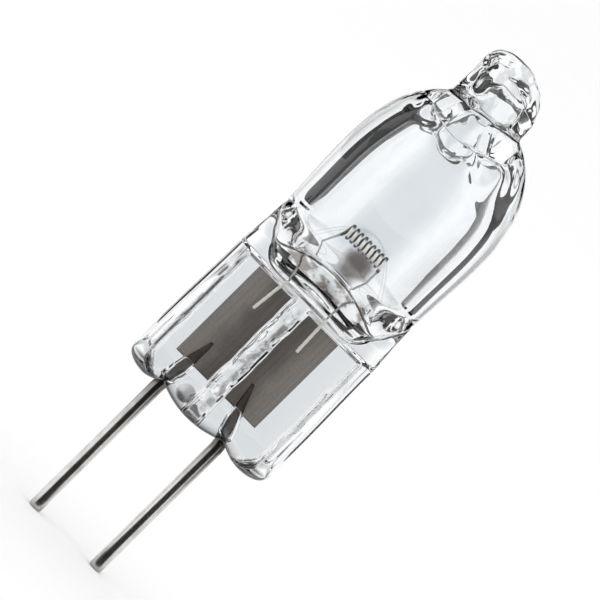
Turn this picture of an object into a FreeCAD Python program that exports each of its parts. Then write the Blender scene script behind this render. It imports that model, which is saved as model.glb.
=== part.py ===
import FreeCAD, Part
import math
import os

from FreeCAD import Vector

# Halogen capsule lamp on a two-pin base, millimetres.
# +Z runs up the lamp from the pins to the tip, X runs along the row of pins, -Y is the front.
# The origin lies midway between the pins, level with the lowest edge of the glass.

# Pins
pin_spacing = 4.0
pin_diameter = 0.7
pin_reach = 8.2
pin_end_chamfer = 0.1
pin_weld_length = 1.4
pin_taper_length = 1.9
pin_tip_diameter = 0.16
left_weld_from_middle = 1.65
right_weld_from_middle = 1.1
pin_gap_in_glass = 0.03

# Foils
foil_spacing = 3.1
foil_width = 2.1
foil_length = 5.55
foil_thickness = 0.03
foil_feather = 0.45
foil_below_pinch_top = 0.25

# Filament, one wire drawn with five flats
wire_diameter = 0.14
wire_flats = 5
coil_diameter = 0.88
coil_pitch = 0.265
coil_whole_turns = 8
coil_part_turn = 0.5
coil_above_pinch_top = 3.8
leg_spacing = 2.75
leg_weld_length = 1.65
leg_weld_depth = 0.015
leg_straight_above_floor = 0.2

# Pinch
glass_shift = 0.25
pinch_width = 8.88
pinch_thickness = 3.2
pinch_height = 7.65
rail_rounding = 1.0
web_thickness = 2.4
rail_width = 0.72
rib_width = 0.62
rib_shift = 0.08
pocket_draft = 0.2
pocket_top_slope = 0.15
edge_corner_radius = 1.15
edge_lobe_depth = 0.45
edge_rounding = 0.6
dimple_diameter = 0.9
dimple_depth = 0.28
dimple_left_of_middle = 0.82
dimple_height = 0.76

# Bulb
shoulder_height = 3.6
waist_diameter = 8.34
waist_corner_flat = 0.06
waist_step = 0.03
bulb_diameter = 8.62
belly_rise = 2.0
belly_height = 2.15
dome_height = 4.65
wall_thickness = 1.08

# Filament chamber
floor_above_pinch_top = 1.9
floor_width = 5.7
floor_depth = 1.6
wedge_height = 2.7
wedge_bulge = 0.6
wedge_clearance = 0.3
chamber_dome_height = 3.5
bore_diameter = 1.7
bore_end_diameter = 0.85
bore_end_height = 0.6
lip_diameter = 3.3
lip_end_diameter = 2.5
lip_drop = 1.1

# Exhaust tip
tip_diameter = 3.92
tip_above_dome = 2.73
tip_edge_rounding = 0.9
tip_shift = -0.45
tip_cap_shift = -0.45
tip_cap_clearance = 0.05
tip_root_depth = 1.9
tip_top_thickness = 1.4

# Levels and radii that follow from the sizes above
pin_radius = pin_diameter / 2
wire_radius = wire_diameter / 2
coil_radius = (coil_diameter - wire_diameter) / 2
bulb_radius = bulb_diameter / 2
waist_radius = waist_diameter / 2
chamber_radius = bulb_radius - wall_thickness
tip_radius = tip_diameter / 2
bore_radius = bore_diameter / 2
half_pinch = pinch_thickness / 2
half_web = web_thickness / 2
foil_top = pinch_height - foil_below_pinch_top
foil_bottom = foil_top - foil_length
foil_front = -foil_thickness / 2
waist_level = pinch_height + shoulder_height
belly_start = waist_level + belly_rise
dome_base = belly_start + belly_height
tip_top = dome_base + dome_height + tip_above_dome
floor_level = pinch_height + floor_above_pinch_top
chamber_top = dome_base + chamber_dome_height
coil_level = pinch_height + coil_above_pinch_top
tip_axis = glass_shift + tip_shift
up = Vector(0, 0, 1)

# Steps in which the shoulder swells, and how far cutting tools stand clear of the glass
swell_steps = 4
cut_margin = 1.0


def rounded_outline(height, half_width, half_depth, corner):
    """Rectangle across the lamp with round corners; nearly a circle where the corner is the half width."""
    flat_x = half_width - corner
    flat_y = half_depth - corner
    bend = corner * math.sqrt(0.5)
    edges = []
    for sign_x, sign_y in ((1, 1), (-1, 1), (-1, -1), (1, -1)):
        centre = Vector(glass_shift + sign_x * flat_x, sign_y * flat_y, height)
        at_side = centre + Vector(sign_x * corner, 0, 0)
        at_face = centre + Vector(0, sign_y * corner, 0)
        middle = centre + Vector(sign_x * bend, sign_y * bend, 0)
        if sign_x == sign_y:
            start, end = at_side, at_face
        else:
            start, end = at_face, at_side
        if edges:
            edges.append(Part.makeLine(edges[-1].lastVertex(True).Point, start))
        edges.append(Part.Arc(start, middle, end).toShape())
    edges.append(Part.makeLine(edges[-1].lastVertex(True).Point, edges[0].firstVertex(True).Point))
    return Part.Wire(edges)


def round_body(lower_profile, wide_radius, rise):
    """Turned form of the bulb or its hollow: up a lower profile to the belly and over the dome."""
    sphere_radius = (wide_radius ** 2 + rise ** 2) / (2 * rise)
    centre_level = dome_base + rise - sphere_radius
    start_angle = math.atan2(dome_base - centre_level, wide_radius)
    middle_angle = (start_angle + math.pi / 2) / 2
    middle_radius = sphere_radius * math.cos(middle_angle)
    middle_level = centre_level + sphere_radius * math.sin(middle_angle)

    def at(radius, height):
        return Vector(glass_shift + radius, 0, height)

    corners = [at(radius, height) for radius, height in lower_profile]
    corners += [at(wide_radius, belly_start), at(wide_radius, dome_base)]
    peak = at(0, dome_base + rise)
    edges = [Part.makeLine(start, end) for start, end in zip(corners, corners[1:])]
    edges.append(Part.Arc(corners[-1], at(middle_radius, middle_level), peak).toShape())
    edges.append(Part.makeLine(peak, corners[0]))
    return Part.Face(Part.Wire(edges)).revolve(corners[0], up, 360)


def pinch_slab():
    """The pressed lower end, with rounded rails along its two sides."""
    outline = rounded_outline(0, pinch_width / 2, half_pinch, rail_rounding)
    return Part.Face(outline).extrude(up * pinch_height)


def shoulder():
    """Smooth form from the flat pinch to the round waist."""
    sections = []
    for step in range(swell_steps + 1):
        share = step / swell_steps
        swell = math.sin(share * math.pi / 2)
        half_width = pinch_width / 2 + (waist_radius - pinch_width / 2) * swell
        half_depth = half_pinch + (waist_radius - half_pinch) * swell
        corner = rail_rounding + (waist_radius - waist_corner_flat - rail_rounding) * swell
        height = pinch_height + shoulder_height * share
        sections.append(rounded_outline(height, half_width, half_depth, corner))
    return Part.makeLoft(sections, True, False)


def bulb():
    """Round bulb, which stands on the shoulder a hair inside its edge."""
    foot = waist_radius - waist_step
    return round_body([(0, waist_level), (foot, waist_level)], bulb_radius, dome_height)


def chamber_walls():
    """Space between the front and back walls, which close in on the pinch from the bulb down."""
    half_floor = floor_depth / 2
    half_top = chamber_radius + wedge_clearance
    wedge_top = floor_level + wedge_height
    across = Vector(half_top - half_floor, wedge_height, 0)
    outward = Vector(wedge_height, half_floor - half_top, 0) * (wedge_bulge / across.Length)
    middle_y = (half_floor + half_top) / 2 + outward.x
    middle_z = (floor_level + wedge_top) / 2 + outward.y
    left = glass_shift - pinch_width / 2

    def at(y, z):
        return Vector(left, y, z)

    edges = [
        Part.makeLine(at(-half_floor, floor_level), at(half_floor, floor_level)),
        Part.Arc(at(half_floor, floor_level), at(middle_y, middle_z), at(half_top, wedge_top)).toShape(),
        Part.makeLine(at(half_top, wedge_top), at(half_top, tip_top)),
        Part.makeLine(at(half_top, tip_top), at(-half_top, tip_top)),
        Part.makeLine(at(-half_top, tip_top), at(-half_top, wedge_top)),
        Part.Arc(at(-half_top, wedge_top), at(-middle_y, middle_z), at(-half_floor, floor_level)).toShape(),
    ]
    return Part.Face(Part.Wire(edges)).extrude(Vector(pinch_width, 0, 0))


def chamber():
    """Hollow round the filament: a wedge at the pinch, round above, open into the exhaust bore."""
    waist_inside = waist_radius - wall_thickness
    lower_profile = [(0, floor_level), (floor_width / 2, floor_level), (waist_inside, waist_level)]
    hollow = round_body(lower_profile, chamber_radius, chamber_dome_height).common(chamber_walls())
    mouth = Vector(tip_axis, 0, chamber_top - lip_drop)
    lip = Part.makeCone(lip_end_diameter / 2, lip_diameter / 2, lip_drop, mouth)
    bore_end = tip_top - tip_top_thickness - bore_end_height
    bore = Part.makeCylinder(bore_radius, bore_end - dome_base, Vector(tip_axis, 0, dome_base))
    bore_top = Vector(tip_axis, 0, bore_end)
    bore_tip = Part.makeCone(bore_radius, bore_end_diameter / 2, bore_end_height, bore_top)
    return hollow.cut(lip).fuse([bore, bore_tip])


def exhaust_tip():
    """Closed stub of the exhaust tube, melted off so that its top slopes down to the right."""
    root = dome_base + dome_height - tip_root_depth
    bend = tip_edge_rounding * (1 - math.sqrt(0.5))

    def at(radius, height):
        return Vector(tip_axis + radius, 0, height)

    corner_start = at(tip_radius, tip_top - tip_edge_rounding)
    corner_middle = at(tip_radius - bend, tip_top - bend)
    corner_end = at(tip_radius - tip_edge_rounding, tip_top)
    edges = [
        Part.makeLine(at(0, root), at(tip_radius, root)),
        Part.makeLine(at(tip_radius, root), corner_start),
        Part.Arc(corner_start, corner_middle, corner_end).toShape(),
        Part.makeLine(corner_end, at(0, tip_top)),
        Part.makeLine(at(0, tip_top), at(0, root)),
    ]
    stub = Part.Face(Part.Wire(edges)).revolve(at(0, root), up, 360)
    cap_radius = tip_radius - tip_cap_shift + tip_cap_clearance
    cap_centre = Vector(tip_axis + tip_cap_shift, 0, tip_top - cap_radius)
    cap = Part.makeSphere(cap_radius, cap_centre)
    block = Part.makeCylinder(cap_radius + cut_margin, cap_radius + cut_margin, cap_centre)
    return stub.cut(block.cut(cap))


def lobed_edge_cut():
    """What is taken away below the glass: two round corners and three lobes, pins between them."""
    left = glass_shift - pinch_width / 2
    right = glass_shift + pinch_width / 2
    pin_x = pin_spacing / 2
    bend = edge_corner_radius * (1 - math.sqrt(0.5))
    depth = half_pinch + cut_margin

    def at(x, z):
        return Vector(x, -depth, z)

    def side_arc(start, valley):
        # Leaves the corner level and rises to the valley at the pin.
        run = valley.x - start.x
        radius = (run * run + edge_lobe_depth ** 2) / (2 * edge_lobe_depth)
        half_turn = math.asin(abs(run) / radius) / 2
        middle_x = start.x + math.copysign(radius * math.sin(half_turn), run)
        middle = at(middle_x, radius * (1 - math.cos(half_turn)))
        return Part.Arc(start, middle, valley).toShape()

    left_start = at(left + edge_corner_radius, 0)
    right_start = at(right - edge_corner_radius, 0)
    left_valley = at(-pin_x, edge_lobe_depth)
    right_valley = at(pin_x, edge_lobe_depth)
    left_top = at(left, edge_corner_radius)
    right_top = at(right, edge_corner_radius)
    corners = [
        right_top,
        at(right + cut_margin, edge_corner_radius),
        at(right + cut_margin, -cut_margin),
        at(left - cut_margin, -cut_margin),
        at(left - cut_margin, edge_corner_radius),
        left_top,
    ]
    edges = [
        Part.Arc(left_top, at(left + bend, bend), left_start).toShape(),
        side_arc(left_start, left_valley),
        Part.Arc(left_valley, at(0, 0), right_valley).toShape(),
        side_arc(right_start, right_valley),
        Part.Arc(right_start, at(right - bend, bend), right_top).toShape(),
    ]
    for start, end in zip(corners, corners[1:]):
        edges.append(Part.makeLine(start, end))
    outline = Part.Wire(Part.__sortEdges__(edges))
    return Part.Face(outline).extrude(Vector(0, 2 * depth, 0))


def edge_rounding_cuts():
    """What is taken away to round the front and back of the lower edge."""
    length = pinch_width + 2 * cut_margin
    start_x = glass_shift - length / 2
    bend = edge_rounding * (1 - math.sqrt(0.5))
    cuts = []
    for side in (-1, 1):
        inner_y = side * (half_pinch - edge_rounding)
        outer_y = side * (half_pinch + cut_margin)
        top = Vector(start_x, side * half_pinch, edge_rounding)
        middle = Vector(start_x, side * (half_pinch - bend), bend)
        bottom = Vector(start_x, inner_y, 0)
        corners = [
            bottom,
            Vector(start_x, inner_y, -cut_margin),
            Vector(start_x, outer_y, -cut_margin),
            Vector(start_x, outer_y, edge_rounding),
            top,
        ]
        edges = [Part.Arc(top, middle, bottom).toShape()]
        for start, end in zip(corners, corners[1:]):
            edges.append(Part.makeLine(start, end))
        cuts.append(Part.Face(Part.Wire(edges)).extrude(Vector(length, 0, 0)))
    return cuts


def pinch_pockets():
    """Pressed fields on both faces, between the rails and the middle rib, with sloping sides."""
    rail_inner = pinch_width / 2 - rail_width
    rib_left = rib_shift - rib_width / 2
    rib_right = rib_shift + rib_width / 2
    fields = [(glass_shift - rail_inner, rib_left), (rib_right, glass_shift + rail_inner)]
    field_depth = half_pinch - half_web
    outside = 1 + cut_margin / 2 / field_depth
    pockets = []
    for side in (-1, 1):
        for left, right in fields:
            outlines = []
            for share in (0, outside):
                y = side * (half_web + share * field_depth)
                inset = pocket_draft * (1 - share)
                top = pinch_height - pocket_top_slope * (1 - share)
                corners = [
                    Vector(left + inset, y, -cut_margin),
                    Vector(right - inset, y, -cut_margin),
                    Vector(right - inset, y, top),
                    Vector(left + inset, y, top),
                ]
                outlines.append(Part.makePolygon(corners + corners[:1]))
            pockets.append(Part.makeLoft(outlines, True, True))
    return pockets


def dimple():
    """Shallow round mark in the front of the pinch."""
    radius = (dimple_diameter ** 2 / 4 + dimple_depth ** 2) / (2 * dimple_depth)
    centre = Vector(-dimple_left_of_middle, -half_web + dimple_depth - radius, dimple_height)
    return Part.makeSphere(radius, centre)


def foil(side):
    """Thin strip with feathered long edges, side -1 on the left and 1 on the right."""
    middle = side * foil_spacing / 2
    flat = foil_width / 2 - foil_feather
    half_thick = foil_thickness / 2
    profile = [
        (-foil_width / 2, 0),
        (-flat, -half_thick),
        (flat, -half_thick),
        (foil_width / 2, 0),
        (flat, half_thick),
        (-flat, half_thick),
    ]
    corners = [Vector(middle + x, y, foil_bottom) for x, y in profile]
    outline = Part.makePolygon(corners + corners[:1])
    return Part.Face(outline).extrude(up * foil_length)


def pin_body(side, gap):
    """Pin grown by gap: straight outside, then leaning to its foil, tapered and flat at the weld."""
    radius = pin_radius + gap
    x = side * pin_spacing / 2
    inner_level = foil_bottom + pin_weld_length
    weld_from_middle = left_weld_from_middle if side < 0 else right_weld_from_middle
    lean = math.atan2(pin_spacing / 2 - weld_from_middle, inner_level)
    direction = Vector(-side * math.sin(lean), 0, math.cos(lean))
    corner = Vector(x, 0, 0)
    start = Vector(x, 0, -pin_reach)
    inner_length = inner_level / math.cos(lean)
    taper_start = corner + direction * (inner_length - pin_taper_length)
    path = Part.makePolygon([start, corner, taper_start])
    ring = Part.Wire(Part.Circle(start, up, radius).toShape())
    shank = path.makePipeShell([ring], True, False, 1)
    tip_end_radius = pin_tip_diameter / 2 + gap
    taper = Part.makeCone(radius, tip_end_radius, pin_taper_length + gap, taper_start, direction)
    behind_corner = Vector(x - pin_spacing / 2, foil_front, foil_bottom)
    behind = Part.makeBox(pin_spacing, pin_spacing, foil_length, behind_corner)
    return shank.fuse(taper).cut(behind)


def pin(side):
    """Pin with a small chamfer round its free end."""
    end = Vector(side * pin_spacing / 2, 0, -pin_reach)
    blank = Part.makeCylinder(pin_radius + cut_margin, pin_end_chamfer, end)
    nose = Part.makeCone(pin_radius - pin_end_chamfer, pin_radius, pin_end_chamfer, end)
    return pin_body(side, 0).cut(blank.cut(nose))


def curved_edge(start, start_pull, end_pull, end):
    """Smooth curve between two points, pulled towards the two points between them."""
    curve = Part.BezierCurve()
    curve.setPoles([start, start_pull, end_pull, end])
    return curve.toShape()


def filament():
    """Coil across the lamp; its legs leave it downwards, one behind and one in front, to the foils."""
    length = (coil_whole_turns + coil_part_turn) * coil_pitch
    coil_start = Vector(glass_shift - length / 2, coil_radius, coil_level)
    coil_end = Vector(glass_shift + length / 2, -coil_radius, coil_level)
    slope = coil_pitch / (2 * math.pi * coil_radius)
    leg_y = foil_front - wire_radius + leg_weld_depth
    left_top = Vector(-leg_spacing / 2, leg_y, floor_level + leg_straight_above_floor)
    right_top = Vector(leg_spacing / 2, leg_y, floor_level + leg_straight_above_floor)
    left_end = Vector(left_top.x, leg_y, foil_top - leg_weld_length)
    right_end = Vector(right_top.x, leg_y, foil_top - leg_weld_length)
    left_reach = (coil_start - left_top).Length / 3
    right_reach = (coil_end - right_top).Length / 3
    left_pull = coil_start + Vector(-slope, 0, -1).normalize() * left_reach
    right_pull = coil_end + Vector(slope, 0, -1).normalize() * right_reach

    helix = Part.makeHelix(coil_pitch, length, coil_radius)
    helix.rotate(Vector(0, 0, 0), Vector(0, 1, 0), 90)
    helix.rotate(Vector(0, 0, 0), Vector(1, 0, 0), 90)
    helix.translate(Vector(coil_start.x, 0, coil_level))

    edges = [Part.makeLine(left_end, left_top)]
    edges.append(curved_edge(left_top, left_top + up * left_reach, left_pull, coil_start))
    edges += helix.Edges
    edges.append(curved_edge(coil_end, right_pull, right_top + up * right_reach, right_top))
    edges.append(Part.makeLine(right_top, right_end))

    corner_radius = wire_radius / math.cos(math.pi / wire_flats)
    corners = []
    for index in range(wire_flats):
        # The first flat is turned to the foil, for the weld.
        angle = math.pi / 2 + math.pi * (2 * index + 1) / wire_flats
        corners.append(left_end + Vector(math.cos(angle), math.sin(angle), 0) * corner_radius)
    ring = Part.makePolygon(corners + corners[:1])
    wire = Part.Wire(edges).makePipeShell([ring], True, False)
    return wire.cut([foil(-1), foil(1)])


def glass_envelope(sealed_in):
    """The one glass piece, with seats for the metal that is sealed into it."""
    body = pinch_slab().fuse([shoulder(), bulb(), exhaust_tip()])
    body = body.cut([lobed_edge_cut()] + edge_rounding_cuts() + pinch_pockets() + [dimple()])
    body = body.cut(chamber())
    pin_seats = [pin_body(side, pin_gap_in_glass) for side in (-1, 1)]
    return body.cut(sealed_in + pin_seats).removeSplitter()


def save(name, shape):
    """Writes one piece as a STEP file."""
    shape.Solids[0].exportStep(os.path.join("parts", name + ".step"))


os.makedirs("parts", exist_ok=True)
tungsten_wire = filament()
foils = [foil(-1), foil(1)]
save("glass_envelope", glass_envelope(foils + [tungsten_wire]))
save("filament", tungsten_wire)
save("foil_left", foils[0])
save("foil_right", foils[1])
save("pin_left", pin(-1))
save("pin_right", pin(1))
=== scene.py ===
import math

import bmesh
import bpy
import numpy as np
from bpy.props import FloatProperty, FloatVectorProperty, IntProperty, PointerProperty
from mathutils import Matrix, Vector, noise


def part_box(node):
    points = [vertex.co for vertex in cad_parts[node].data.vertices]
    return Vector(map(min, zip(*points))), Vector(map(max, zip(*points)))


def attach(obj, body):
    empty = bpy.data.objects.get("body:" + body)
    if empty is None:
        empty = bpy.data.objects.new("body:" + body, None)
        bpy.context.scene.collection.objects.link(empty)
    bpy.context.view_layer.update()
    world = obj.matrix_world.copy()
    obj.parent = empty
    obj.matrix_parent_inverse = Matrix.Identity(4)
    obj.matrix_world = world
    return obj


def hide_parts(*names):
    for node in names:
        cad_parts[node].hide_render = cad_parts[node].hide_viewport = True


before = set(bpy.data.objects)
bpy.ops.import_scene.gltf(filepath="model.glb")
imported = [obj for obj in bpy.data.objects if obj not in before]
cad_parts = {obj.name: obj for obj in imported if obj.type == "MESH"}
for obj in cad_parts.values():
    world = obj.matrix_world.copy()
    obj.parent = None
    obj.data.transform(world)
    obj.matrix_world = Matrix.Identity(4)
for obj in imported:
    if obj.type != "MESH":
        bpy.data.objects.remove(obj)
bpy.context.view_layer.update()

bl_info = {
    "name": "Halogen capsule bulb",
    "version": (1, 0, 0),
    "blender": (4, 5, 0),
    "location": "View3D > Sidebar > Capsule",
    "description": "Dresses the packed solids of a halogen capsule bulb with clear quartz and worn metal",
    "category": "Object",
}

# Boxes, panel, materials and stage are in metres; a mesh is worked out in millimetres.
MM = 0.001
TURN, QUARTER = 2 * math.pi, math.pi / 2
GLASS_LOW, GLASS_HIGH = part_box("glass_envelope")
LEFT_FOIL_LOW, LEFT_FOIL_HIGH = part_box("foil_left")
RIGHT_FOIL_LOW, RIGHT_FOIL_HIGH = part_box("foil_right")
LEFT_PIN_LOW, LEFT_PIN_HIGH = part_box("pin_left")
RIGHT_PIN_LOW, RIGHT_PIN_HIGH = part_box("pin_right")
FILAMENT_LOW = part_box("filament")[0]
GLASS_AXIS = (GLASS_LOW.x + GLASS_HIGH.x) / 2

# In millimetres: how far a leg's knobbly seal and its painted reflection reach above its foil,
# the round mark in the pinch, and how close two points of a thin piece lie that are made one.
SEAL_REACH = 0.9
MARK_RADIUS = 0.5
FINE_MERGE = 1e-5


def length(name, description, millimetres):
    """Length for the panel."""
    return FloatProperty(name=name, description=description, default=millimetres * MM, unit="LENGTH",
                         precision=6)


def spot(name, description, *millimetres):
    """Place for the panel."""
    return FloatVectorProperty(name=name, description=description, unit="LENGTH", precision=6,
                               default=tuple(value * MM for value in millimetres))


def colour(name, description, value):
    """Colour for the panel."""
    return FloatVectorProperty(name=name, description=description, default=value, subtype="COLOR", min=0,
                               max=1)


def angle(name, description, degrees):
    """Angle for the panel."""
    return FloatProperty(name=name, description=description, default=math.radians(degrees), subtype="ANGLE")


class CapsuleGlass(bpy.types.PropertyGroup):
    """Sizes and colours of the quartz envelope."""

    web_thickness: length("Web thickness", "Pinch between its rails and rib", 2.4)
    pinch_thickness: length("Pinch thickness", "Pinch over its rails", 3.2)
    pinch_height: length("Pinch height", "From the lower edge to the top of the pressed fields", 7.65)
    rail_width: length("Rail width", "Thick side rail of the pinch", 0.72)
    rib_width: length("Rib width", "Rib between the two fields", 0.62)
    rib_shift: length("Rib shift", "Middle of the rib from the middle of the pins", 0.08)
    wall_slope: length("Field wall slope", "Width of the sloping wall round a pressed field", 0.2)
    field_corner: length("Field corner", "Radius in which a rail turns in round the lower corner", 1.1)
    field_foot: length("Field foot", "Level of the rails' lower ends", 0.15)
    edge_rounding: length("Edge rounding", "Rounding of the lower edge, front to back", 0.6)
    corner_radius: length("Corner radius", "Lower corners of the pinch", 1.15)
    lobe_depth: length("Lobe depth", "Notch of the lower edge at each pin", 0.45)
    waist_rise: length("Waist rise", "From the pinch to the narrowest round", 2.65)
    waist_radius: length("Waist radius", "Narrowest place between pinch and bulb", 4.17)
    face_rise: length("Face rise", "Rise of the pressed faces that run up into the bulb", 5.6)
    ear_start: length("Ear start", "Height above the pinch where the flat ears start to thin out", 0.9)
    ear_run: length("Ear run", "Height over which the ears thin out to nothing", 1.9)
    crease_low: length("Crease", "Half width of the blown part where it leaves the pinch", 2.5)
    crease_slope: FloatProperty(name="Crease slope", description="How fast the blown part widens",
                                default=0.68)
    crease_softness: length("Crease softness", "Rounding between the blown part and the ears", 0.25)
    dome_start: length("Dome start", "Level of the widest round, where the dome starts to close", 14.2)
    dome_top: length("Dome top", "Level of the dome's top, the tip left aside", 20.25)
    wall_thickness: length("Wall thickness", "Glass round the filament chamber", 1.08)
    face_wall: length("Face wall", "Glass between the pressed faces and the chamber", 1.15)
    floor_level: length("Chamber floor", "Level of the chamber's lower end", 9.85)
    floor_rise: length("Floor rise", "Height of the chamber's rounded floor", 0.3)
    floor_arch: length("Floor arch", "Drop of the chamber's floor from the middle to its sides", 0.6)
    chamber_dome: length("Chamber dome", "Level where the chamber starts to close", 13.6)
    chamber_top: length("Chamber top", "Level to which the chamber's dome would close", 18.95)
    bore_radius: length("Bore radius", "Exhaust bore in the tip", 0.85)
    tip_radius: length("Tip radius", "Stub of the exhaust tube", 1.96)
    tip_edge: length("Tip edge", "Rounding of the tip's top", 1.15)
    tip_shift: length("Tip shift", "Tip's axis from the bulb's axis", -0.45)
    cap_shift: length("Cap shift", "Middle of the melted top from the tip's axis", -0.45)
    ripple: length("Ripple", "Unevenness of the pressed glass", 0.0025)
    tint: colour("Tint", "What white light becomes through one wall", (0.93, 0.945, 0.955))
    # Painted shade: a dark spot standing in for the coil's shade on the chamber's back wall.
    painted_wall_shade: colour("Stain", "Smoky metal film on the chamber's back wall", (0.12, 0.1, 0.09))
    painted_wall_shade_at: spot("Stain place", "Middle of the smoky film", 0.6, 2.6, 10.3)
    press_top: length("Press top", "Highest place of the bell-shaped press line on the front", 12.44)
    press_line: colour("Press line", "Faint line round the pressed face", (0.6, 0.62, 0.63))
    smoke: colour("Smoke", "Brown film on the glass under the chamber", (0.16, 0.135, 0.12))
    # Painted shade: grey patches that darken the rib's right half.
    rib_painted_shade: colour("Rib shade", "Grey patches on the right half of the rib", (0.3, 0.29, 0.285))
    # Painted shade: dark lines in the corners between the rails and the fields.
    rail_painted_shade: colour("Rail shade", "Dirt in the corner between rail and field", (0.03, 0.029, 0.028))
    # Painted shade: a dark outline along the lowest glass, where it turns under.
    edge_painted_shade: colour("Edge shade", "Dirt burnt into the lower edge", (0.04, 0.038, 0.036))
    mark_at: spot("Round mark", "Middle of the round mark in the front of the pinch", -0.82, -1.2, 0.8)
    columns: IntProperty(name="Columns", description="Mesh columns round the envelope", default=224, min=64)


class CapsuleMetal(bpy.types.PropertyGroup):
    """Sizes and colours of the filament, foils and pins."""

    wire_radius: length("Wire radius", "Tungsten wire in its seal", 0.07)
    coil_wire: length("Coil wire radius", "Tungsten wire in the turns of the coil", 0.084)
    leg_wire: length("Leg wire radius", "Free legs, etched thinner than the coil", 0.052)
    coil_radius: length("Coil radius", "To the middle of the wire", 0.356)
    coil_pitch: length("Coil pitch", "From turn to turn", 0.265)
    coil_turns: FloatProperty(name="Turns", description="Turns of the coil", default=8.5, min=1)
    coil_level: length("Coil level", "Height of the coil's axis", 11.53)
    leg_straight: length("Leg bend", "Height from which a leg bends in towards the coil", 9.75)
    leg_spacing: length("Leg spacing", "Between the legs at that height", 2.75)
    pin_tip_radius: length("Pin tip radius", "Pin at the end of its taper", 0.08)
    pin_taper: length("Pin taper", "Length of the taper inside the glass", 1.9)
    pin_gap: length("Gap round a pin", "Space between pin and glass inside the pinch", 0.08)
    tungsten: colour("Tungsten", "Free legs", (0.5, 0.5, 0.49))
    # Painted light and shade: the coil's turns are painted pale in front and dark round their top, underside
    # and back.
    coil_painted_light: colour("Coil", "Clean side of the coil's turns", (0.9, 0.88, 0.83))
    coil_painted_shade: colour("Coil shade", "Burnt top, underside and back of the turns", (0.06, 0.058, 0.055))
    # Painted reflection: the leg in its seal is painted near white.
    weld: colour("Welded leg", "Bright seal along a leg on its foil", (1.0, 0.985, 0.93))
    foil: colour("Foil", "Molybdenum strip", (0.27, 0.25, 0.235))
    # Painted shade: the foil's inner half is painted darker than its outer half.
    foil_painted_shade: colour("Foil shade", "Molybdenum strip where it is dull", (0.15, 0.14, 0.132))
    pin: colour("Pin", "Drawn pin outside the glass", (0.82, 0.805, 0.78))
    pin_dark: colour("Pin oxide", "Pin where heat has browned it", (0.055, 0.043, 0.038))


class CapsuleStage(bpy.types.PropertyGroup):
    """View, screens and floor."""

    elevation: angle("Elevation", "Camera above the horizon", 5.5)
    lean: angle("Lean", "Lamp's axis from the picture's horizontal", 44.63)
    distance: length("Distance", "Camera from the lamp", 260)
    field: length("Field", "Width of the picture at the lamp", 27.907)
    aim_across: length("Aim across", "Middle of the picture along the row of pins", -0.163)
    aim_up: length("Aim up", "Middle of the picture up the lamp", 7.535)
    floor: colour("Floor", "Plain pale floor", (0.975, 0.975, 0.975))
    card: colour("Card", "Pale card straight behind the lamp", (0.71, 0.73, 0.745))
    flag: colour("Flag", "Dark screen whose image edges the glass", (0.008, 0.0075, 0.0075))


def smooth(value):
    """Goes gently from 0 to 1 as the value does."""
    value = np.clip(value, 0, 1)
    return value * value * (3 - 2 * value)


def soft_min(first, second, width):
    """Lesser of two values, with a rounded join."""
    part = np.clip(0.5 + 0.5 * (second - first) / width, 0, 1)
    return second + (first - second) * part - width * part * (1 - part)


def easy_min(first, second, width):
    """Lesser of two values, with a join so gentle that no line shows in the glass."""
    near = np.clip(1 - np.abs(first - second) / width, 0, 1)
    return np.minimum(first, second) - near ** 3 * width / 6


def curve_through(points, count):
    """Smooth points along a curve that passes through the given ones."""
    points = np.array(points, float)
    padded = np.vstack([2 * points[0] - points[1], points, 2 * points[-1] - points[-2]])
    steps = np.linalg.norm(np.diff(points, axis=0), axis=1)
    knots = np.concatenate([[0], np.cumsum(steps)])
    out = []
    for along in np.linspace(0, knots[-1], count):
        index = min(int(np.searchsorted(knots, along, side="right")) - 1, len(steps) - 1)
        t = (along - knots[index]) / steps[index]
        a, b, c, d = padded[index:index + 4]
        square, cube = 2 * a - 5 * b + 4 * c - d, 3 * b - a - 3 * c + d
        out.append(0.5 * (2 * b + (c - a) * t + square * t ** 2 + cube * t ** 3))
    return np.array(out)


def bezier(start, start_pull, end_pull, end, count):
    """Points along a curve that leaves and reaches its ends along their pulls."""
    t = np.linspace(0, 1, count)[:, None]
    return ((1 - t) ** 3 * start + 3 * (1 - t) ** 2 * t * start_pull
            + 3 * (1 - t) * t ** 2 * end_pull + t ** 3 * end)


def uneven(points, scale, seed):
    """Smooth noise from -1 to 1 at points in millimetres."""
    offset = Vector((seed * 7.3, seed * 3.1, seed * 5.7))
    return np.array([noise.noise(Vector(point) * scale + offset) for point in points])


def circle(count):
    """Directions of evenly spaced points round a ring."""
    return np.linspace(0, TURN, count, endpoint=False)


def ring(x, y, level):
    """Ring of points from its places and its height."""
    return np.stack([x, y, np.full_like(x, level)], 1)


def section(angles, half_width, half_depth, squareness):
    """Ring of a rounded rectangle or ellipse about the origin."""
    across, deep = np.cos(angles), np.sin(angles)
    reach = (np.abs(across) ** squareness + np.abs(deep) ** squareness) ** (-1 / squareness)
    return half_width * reach * across, half_depth * reach * deep


def closed_end(rows):
    """Rows whose last ring is drawn together to a point."""
    rows[-1] = np.repeat(rows[-1].mean(0)[None], len(rows[-1]), 0)
    return rows


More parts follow.
